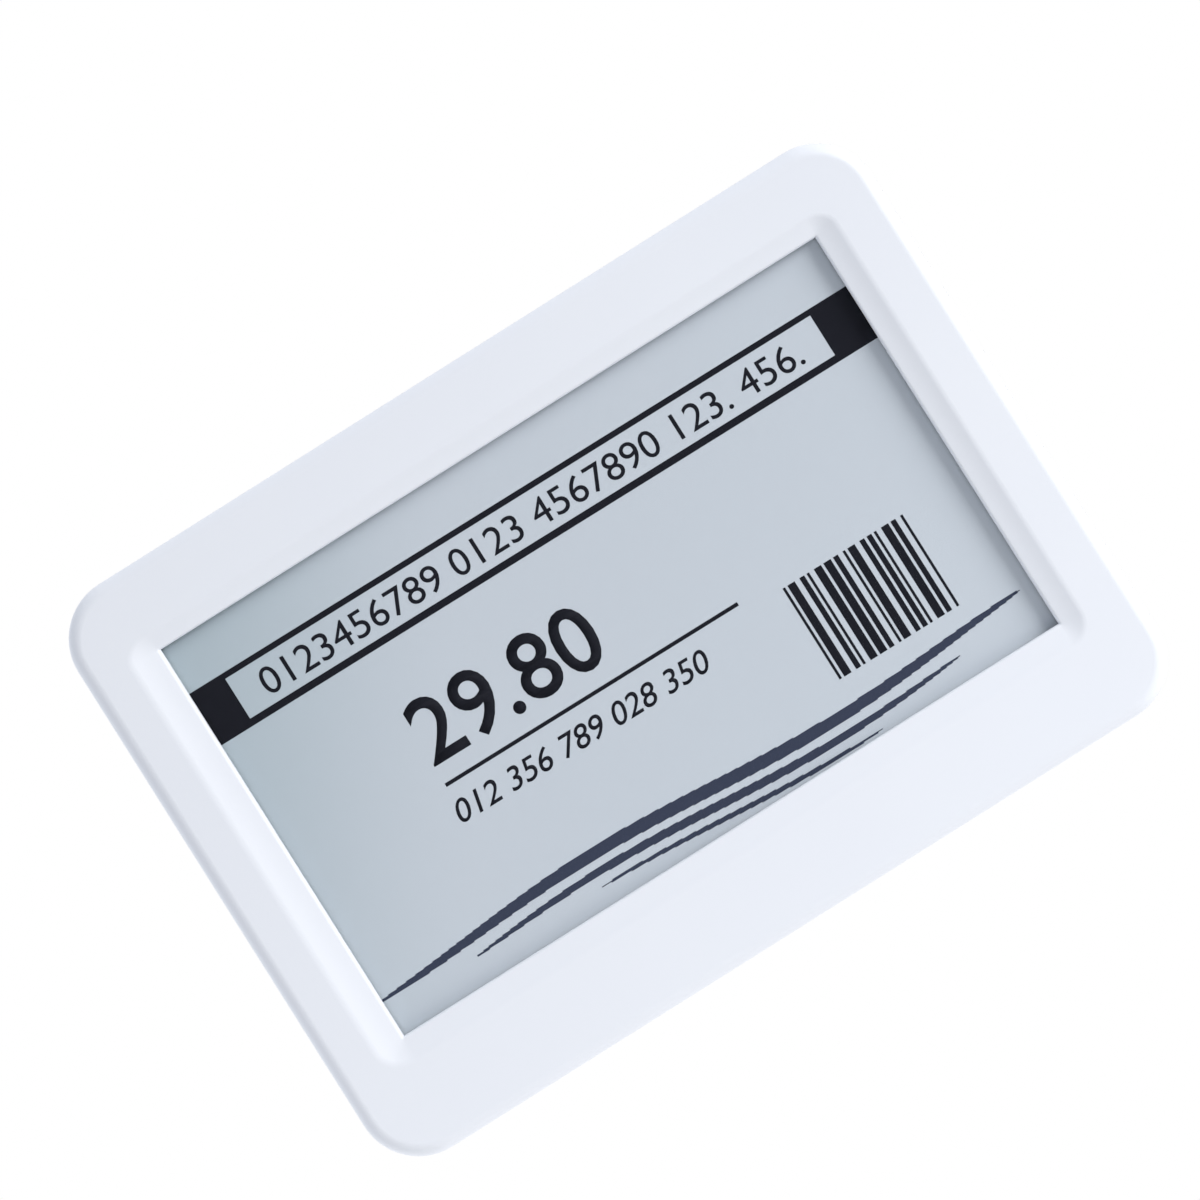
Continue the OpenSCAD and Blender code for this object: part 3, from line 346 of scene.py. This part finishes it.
cellNickel = {
    "colour": "CFD1D3",
    "shade": "A9ADB2",
    "ring": 0.9,
    "rub": 4,
    "brightest": 0.2,
    "dullest": 0.34,
}

for node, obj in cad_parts.items():
    for slot in obj.material_slots:
        slot.material = finishes[slot.material.name.split(".")[0]]
    if node.startswith("coin_cell_"):
        low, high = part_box(node)
        centre = (low + high) / 2
        obj.material_slots[0].material = turnedNickel("pressedNickel" + node[-1], cellNickel, centre)
print("finishes set on", len(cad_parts), "nodes")


def addPiece(name, mesh, finish, body="housing"):
    piece = bpy.data.objects.new(name, mesh)
    bpy.context.scene.collection.objects.link(piece)
    mesh.materials.clear()
    mesh.materials.append(finish)
    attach(piece, body)
    return piece


def meshFrom(bm, name):
    mesh = bpy.data.meshes.new(name)
    bm.to_mesh(mesh)
    bm.free()
    return mesh


gasketLow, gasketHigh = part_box("display_gasket")
filmLow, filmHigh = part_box("ink_film")
coverLow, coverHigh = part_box("front_cover")

window = {
    "gasketOverhang": 1.6 * mm,   # from the gasket's outer edge in to the window's edge
}
windowLeft = gasketLow.x + window["gasketOverhang"]
windowRight = gasketHigh.x - window["gasketOverhang"]
windowTop = gasketHigh.z - window["gasketOverhang"]
windowFoot = gasketLow.z + window["gasketOverhang"]

# Front cover: the CAD shape with its dish shaded smooth, and each side of the dish at its own width
frontShell = {
    "dishWidth": 5.95 * mm,       # as in the CAD, all round
    "slack": 0.2 * mm,            # past the dish's outer edge, and still moved with it
    "left": 7.8 * mm,
    "right": 5.9 * mm,
    "top": 4.8 * mm,
    "foot": 6.2 * mm,
    "wallTop": 13.0 * mm,         # from the label's back, and only what is farther out moves
    "weld": 0.002 * mm,
    "sharpAngle": 32,             # degrees
    "evenWeight": 100,            # large faces set the shading of the roundings beside them
}


def stretchDish(point, look):
    # Points past the window's edge move out or in with the width of their side
    reach = look["dishWidth"] + look["slack"]
    right = point.x - windowRight
    left = windowLeft - point.x
    top = point.z - windowTop
    foot = windowFoot - point.z
    if -point.y < look["wallTop"] or max(right, left, top, foot) > reach:
        return
    if right > 0:
        point.x = windowRight + right * look["right"] / look["dishWidth"]
    if left > 0:
        point.x = windowLeft - left * look["left"] / look["dishWidth"]
    if top > 0:
        point.z = windowTop + top * look["top"] / look["dishWidth"]
    if foot > 0:
        point.z = windowFoot - foot * look["foot"] / look["dishWidth"]


def buildFrontShell(look):
    bm = bmesh.new()
    bm.from_mesh(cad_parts["front_cover"].data)
    bmesh.ops.remove_doubles(bm, verts=bm.verts, dist=look["weld"])
    for vert in bm.verts:
        stretchDish(vert.co, look)
    for face in bm.faces:
        face.smooth = True
    sharp = math.radians(look["sharpAngle"])
    for edge in bm.edges:
        edge.smooth = len(edge.link_faces) == 2 and edge.calc_face_angle(0) < sharp
    piece = addPiece("frontShell", meshFrom(bm, "frontShell"), finishes["front_plastic"])
    even = piece.modifiers.new("evenNormals", "WEIGHTED_NORMAL")
    even.keep_sharp = True
    even.weight = look["evenWeight"]
    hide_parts("front_cover")


buildFrontShell(frontShell)
print("front cover shaded")

# Clear sheet, just clear of the ink behind it
clearSheet = {
    "gap": 0.06 * mm,
    "back": 0.02 * mm,
    "edge": 0.08 * mm,
}


def buildClearSheet(look):
    low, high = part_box("clear_sheet")
    size = high - low
    depth = size.y - look["gap"] - look["back"]
    centre = Vector(((low.x + high.x) / 2, low.y + look["back"] + depth / 2, (low.z + high.z) / 2))
    bm = bmesh.new()
    place = Matrix.Translation(centre) @ Matrix.Diagonal((size.x, depth, size.z, 1))
    bmesh.ops.create_cube(bm, size=1, matrix=place)
    bmesh.ops.bevel(bm, geom=bm.edges[:], offset=look["edge"], offset_type="OFFSET", affect="EDGES",
                    segments=2, profile=0.5, material=-1)
    piece = addPiece("hardCoatSheet", meshFrom(bm, "hardCoatSheet"), finishes["clear_sheet"])
    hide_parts("clear_sheet")


buildClearSheet(clearSheet)
print("clear sheet set in")

# What the screen shows, laid out in millimetres from the window's top left corner
# Each ink's corner colour is painted shade for the screen's upper left corner
darkInk = inkCapsules("blackInkCapsules", {"colour": "21222A", "shade": "191A21", "corner": "1C1D24",
                      "roughness": 0.6, "capsule": 0.3, "gloss": 0.05})
slateInk = inkCapsules("slateInkCapsules", {"colour": "454C60", "shade": "3A4053", "corner": "3B4154",
                       "roughness": 0.6, "capsule": 0.3, "gloss": 0.05})
ink = {
    "thickness": 0.02 * mm,
    "sink": 0.005 * mm,
    "pixel": 0.204,
    "tilt": 0.006,                # the display sits a little turned behind the window
}
inkBack = filmLow.y + ink["sink"]


def screenPoint(right, down):
    return Vector((windowLeft + right * mm, inkBack, windowTop - down * mm))


def inkPatch(bm, left, top, right, foot):
    scale = Matrix.Diagonal(((right - left) * mm, (foot - top) * mm, 1, 1))
    stand = Matrix.Rotation(math.pi / 2, 4, "X")
    place = Matrix.Translation(screenPoint((left + right) / 2, (top + foot) / 2))
    bmesh.ops.create_grid(bm, x_segments=1, y_segments=1, size=0.5, matrix=place @ stand @ scale)


def addInk(name, bm, finish):
    # A flat drawing is turned with the display and gets the ink's thickness, out towards the reader
    for vert in bm.verts:
        vert.co.z -= (vert.co.x - windowLeft) * ink["tilt"]
    shape = bmesh.ops.extrude_face_region(bm, geom=bm.faces[:], use_keep_orig=True)
    raised = [part for part in shape["geom"] if isinstance(part, bmesh.types.BMVert)]
    bmesh.ops.translate(bm, verts=raised, vec=(0, -ink["thickness"] - ink["sink"], 0))
    bmesh.ops.recalc_face_normals(bm, faces=bm.faces[:])
    addPiece(name, meshFrom(bm, name), finish)


header = {
    "top": 11.1,
    "foot": 23.9,
    "panelLeft": 8.1,
    "panelTop": 12.4,
    "panelRight": 153.4,
    "panelFoot": 22.3,
    "screenWidth": 163.0,
    "overrun": 1.5,               # the blocks run on under the front cover
}


def buildHeader(look):
    bm = bmesh.new()
    inkPatch(bm, -look["overrun"], look["top"], look["panelLeft"], look["foot"])
    inkPatch(bm, look["panelRight"], look["top"], look["screenWidth"] + look["overrun"], look["foot"])
    inkPatch(bm, look["panelLeft"], look["top"], look["panelRight"], look["panelTop"])
    inkPatch(bm, look["panelLeft"], look["panelFoot"], look["panelRight"], look["foot"])
    addInk("headerFrame", bm, darkInk)


rule = {"left": 35.5, "right": 108.1, "top": 55.6, "foot": 56.45}


def buildRule(look):
    bm = bmesh.new()
    inkPatch(bm, look["left"], look["top"], look["right"], look["foot"])
    addInk("screenRule", bm, darkInk)


barcode = {
    "left": 117.75,
    "top": 58.3,
    "foot": 80.95,
    "bars": 15,
    "module": 0.595,
}


def buildBarcode(look):
    # Bars of one to three modules and gaps of one or two, from a simple formula, which code nothing
    bm = bmesh.new()
    x = look["left"]
    for i in range(look["bars"]):
        width = (1 + (3 * i * i + 2 * i + i // 5) % 3) * look["module"]
        inkPatch(bm, x, look["top"], x + width, look["foot"])
        x += width + (1 + (i + i // 5) % 2) * look["module"]
    addInk("screenBarcode", bm, darkInk)


waves = {
    "length": 118.0,              # of one wave
    "height": 1.5,
    "phase": 1.9,
    "taper": 0.45,                # the lower it is, the blunter the ends
    "thinnest": 0.3,
    "ribbons": [
        {"left": -1.0, "right": 160.0, "centre": 86.2, "thickness": 2.8},
        {"left": 22.0, "right": 142.0, "centre": 90.1, "thickness": 1.9},
        {"left": 52.0, "right": 120.0, "centre": 93.2, "thickness": 1.1},
    ],
}


def waveEdges(right, ribbon, look):
    # Upper and lower edge of a ribbon, in whole pixels down from the window's top
    along = (right - ribbon["left"]) / (ribbon["right"] - ribbon["left"])
    swell = abs(math.sin(math.pi * along)) ** look["taper"]
    half = max(ribbon["thickness"] * swell, look["thinnest"]) / 2
    line = ribbon["centre"] + look["height"] * math.sin(2 * math.pi * right / look["length"] + look["phase"])
    return round((line - half) / ink["pixel"]), round((line + half) / ink["pixel"])


def buildWaves(look):
    # Ribbons that run side by side along the foot, one patch for each run of equal pixel columns
    bm = bmesh.new()
    pixel = ink["pixel"]
    for ribbon in look["ribbons"]:
        columns = int((ribbon["right"] - ribbon["left"]) / pixel)
        edges = [waveEdges(ribbon["left"] + column * pixel, ribbon, look) for column in range(columns)]
        start = 0
        for column in range(1, columns + 1):
            if column == columns or edges[column] != edges[start]:
                upper, lower = edges[start]
                inkPatch(bm, ribbon["left"] + start * pixel, upper * pixel,
                         ribbon["left"] + column * pixel, lower * pixel)
                start = column
    addInk("screenWaves", bm, slateInk)


numbers = {
    "headerNumbers": {"digits": "0123456789 0123 4567890 123. 456.", "left": 14.1, "right": 147.5,
                      "top": 14.5, "foot": 20.5, "slant": 0, "weight": 0.0},
    "largeNumber": {"digits": "29.80", "left": 35.6, "right": 79.5, "top": 37.1, "foot": 51.8,
                    "slant": 0, "weight": 0.01},
    "smallNumbers": {"digits": "012 356 789 028 350", "left": 34.2, "right": 96.6, "top": 59.8, "foot": 64.9,
                     "slant": 0.22, "weight": 0.004},
}
lettering = {
    "curveSteps": 5,
    "weld": 0.0001,               # in letter heights, before the text is scaled
}


def buildNumbers(name, look):
    curve = bpy.data.curves.new(name, "FONT")
    curve.body = look["digits"]
    curve.shear = look["slant"]
    curve.offset = look["weight"]
    curve.resolution_u = lettering["curveSteps"]
    holder = bpy.data.objects.new(name + "Text", curve)
    bpy.context.scene.collection.objects.link(holder)
    flat = bpy.data.meshes.new_from_object(holder.evaluated_get(bpy.context.evaluated_depsgraph_get()))
    bpy.data.objects.remove(holder)
    bpy.data.curves.remove(curve)
    bm = bmesh.new()
    bm.from_mesh(flat)
    bpy.data.meshes.remove(flat)
    bmesh.ops.remove_doubles(bm, verts=bm.verts, dist=lettering["weld"])
    low = Vector((min(v.co.x for v in bm.verts), min(v.co.y for v in bm.verts), 0))
    high = Vector((max(v.co.x for v in bm.verts), max(v.co.y for v in bm.verts), 0))
    scale = Matrix.Diagonal(((look["right"] - look["left"]) * mm / (high.x - low.x),
                             (look["foot"] - look["top"]) * mm / (high.y - low.y), 1, 1))
    stand = Matrix.Rotation(math.pi / 2, 4, "X")
    place = Matrix.Translation(screenPoint(look["left"], look["foot"]))
    bmesh.ops.transform(bm, matrix=place @ stand @ scale @ Matrix.Translation(-low), verts=bm.verts)
    addInk(name, bm, darkInk)


buildHeader(header)
buildRule(rule)
buildBarcode(barcode)
buildWaves(waves)
for name, look in numbers.items():
    buildNumbers(name, look)
print("screen drawn")

# Camera, square to the front and rolled as the photograph is
view = {
    "lens": 200,
    "sensor": 36,
    "distance": 1.402,
    "right": 2.4 * mm,
    "up": 10.9 * mm,
    "roll": 32.2,                 # degrees
    "farEnd": 20,
}
camera = bpy.data.objects.new("camera", bpy.data.cameras.new("camera"))
bpy.context.scene.collection.objects.link(camera)
camera.data.lens = view["lens"]
camera.data.sensor_width = view["sensor"]
camera.data.clip_end = view["farEnd"]
camera.matrix_world = (Matrix.Translation((view["right"], coverLow.y - view["distance"], view["up"]))
                       @ Matrix.Rotation(math.pi / 2, 4, "X")
                       @ Matrix.Rotation(math.radians(-view["roll"]), 4, "Z"))
bpy.context.scene.camera = camera

# Soft light from the right of the front, and a pale room that is brighter high up and on the left
studio = {
    "sideAngle": 58,              # degrees round from the front
    "sideRise": 14,
    "sideDistance": 2.4,
    "sideSize": 1.7,
    "sidePower": 56,
    "roomFront": 0.25,
    "roomSides": 0.73,
    "roomTurn": -0.85,            # the front's brightness changes to the sides' from here on
    "roomLean": (-0.75, 0, 0.3),
    "roomTint": "F3F7FF",
    "floorDrop": 0.2,
    "floorSize": 1.0,
    "floorWhite": 0.75,
    "floorLight": 1.25,           # the floor glows for all but camera rays, a light from below that lifts the label's foot
}

softbox = bpy.data.objects.new("sideSoftbox", bpy.data.lights.new("sideSoftbox", "AREA"))
bpy.context.scene.collection.objects.link(softbox)
softbox.data.shape = "DISK"
softbox.data.size = studio["sideSize"]
softbox.data.energy = studio["sidePower"]
softbox.matrix_world = (Matrix.Rotation(math.radians(studio["sideAngle"]), 4, "Z")
                        @ Matrix.Rotation(math.radians(90 - studio["sideRise"]), 4, "X")
                        @ Matrix.Translation((0, 0, studio["sideDistance"])))

world = bpy.data.worlds.new("studio")
bpy.context.scene.world = world
world.use_nodes = True
worldTree = world.node_tree
worldTree.nodes.clear()
ray = addNode(worldTree, "ShaderNodeLightPath")
seen = addNode(worldTree, "ShaderNodeMath", {"operation": "MAXIMUM"},
               {0: ray.outputs["Is Camera Ray"], 1: ray.outputs["Is Glossy Ray"]})
seen = addNode(worldTree, "ShaderNodeMath", {"operation": "MAXIMUM"},
               {0: seen.outputs[0], 1: ray.outputs["Is Transmission Ray"]})
direction = addNode(worldTree, "ShaderNodeTexCoord").outputs["Generated"]
side = addNode(worldTree, "ShaderNodeSeparateXYZ", {}, {0: direction})
level = addNode(worldTree, "ShaderNodeMapRange", {"From Min": studio["roomTurn"], "From Max": 0,
                "To Min": studio["roomFront"], "To Max": studio["roomSides"]}, {"Value": side.outputs["Y"]})
lean = addNode(worldTree, "ShaderNodeVectorMath", {"operation": "DOT_PRODUCT", 1: studio["roomLean"]},
               {0: direction})
leaning = addNode(worldTree, "ShaderNodeMath", {"operation": "ADD", 1: 1}, {0: lean.outputs["Value"]})
strength = addNode(worldTree, "ShaderNodeMath", {"operation": "MULTIPLY"},
                   {0: level.outputs["Result"], 1: leaning.outputs[0]})
room = addNode(worldTree, "ShaderNodeBackground", {"Color": linearColour(studio["roomTint"])},
               {"Strength": strength.outputs[0]})
white = addNode(worldTree, "ShaderNodeBackground", {"Color": (1, 1, 1, 1), "Strength": 1})
mixed = addNode(worldTree, "ShaderNodeMixShader", {},
                {0: seen.outputs[0], 1: room.outputs[0], 2: white.outputs[0]})
addNode(worldTree, "ShaderNodeOutputWorld", {}, {"Surface": mixed.outputs[0]})

# Pale paper floor, below the view because the label is held at its back
floorMesh = bmesh.new()
bmesh.ops.create_grid(floorMesh, x_segments=1, y_segments=1, size=studio["floorSize"] / 2,
                      matrix=Matrix.Translation((0, 0, coverLow.z - studio["floorDrop"])))
floor = bpy.data.objects.new("floor", meshFrom(floorMesh, "floor"))
bpy.context.scene.collection.objects.link(floor)
floorFinish, floorTree, floorShader, floorPlace = newFinish("paperFloor", {"Roughness": 0.9})
fibre = addNode(floorTree, "ShaderNodeTexNoise", {"Scale": perMetre(3), "Detail": 3}, {"Vector": floorPlace})
pale = addNode(floorTree, "ShaderNodeMix", {"data_type": "RGBA", mixFirst: linearColour("F1F2F4"),
               mixSecond: linearColour("F7F8FA")}, {mixFactor: fibre.outputs["Fac"]})
floorTree.links.new(pale.outputs[mixResult], floorShader.inputs["Base Color"])
# The camera sees the floor nearly as white as the room, with the label's shadow kept in it, and to all other
# rays the floor glows brighter, as a light from below
floorRay = addNode(floorTree, "ShaderNodeLightPath")
floorLevel = addNode(floorTree, "ShaderNodeMapRange", {"To Min": studio["floorLight"], "To Max": 1},
                     {"Value": floorRay.outputs["Is Camera Ray"]})
floorGlow = addNode(floorTree, "ShaderNodeEmission", {"Color": (1, 1, 1, 1)},
                    {"Strength": floorLevel.outputs["Result"]})
floorMix = addNode(floorTree, "ShaderNodeMixShader", {0: studio["floorWhite"]},
                   {1: floorShader.outputs[0], 2: floorGlow.outputs[0]})
floorTree.links.new(floorMix.outputs[0], floorTree.nodes["Material Output"].inputs["Surface"])
floor.data.materials.append(floorFinish)

bpy.context.scene.view_settings.view_transform = "Standard"
print("camera and lights set")
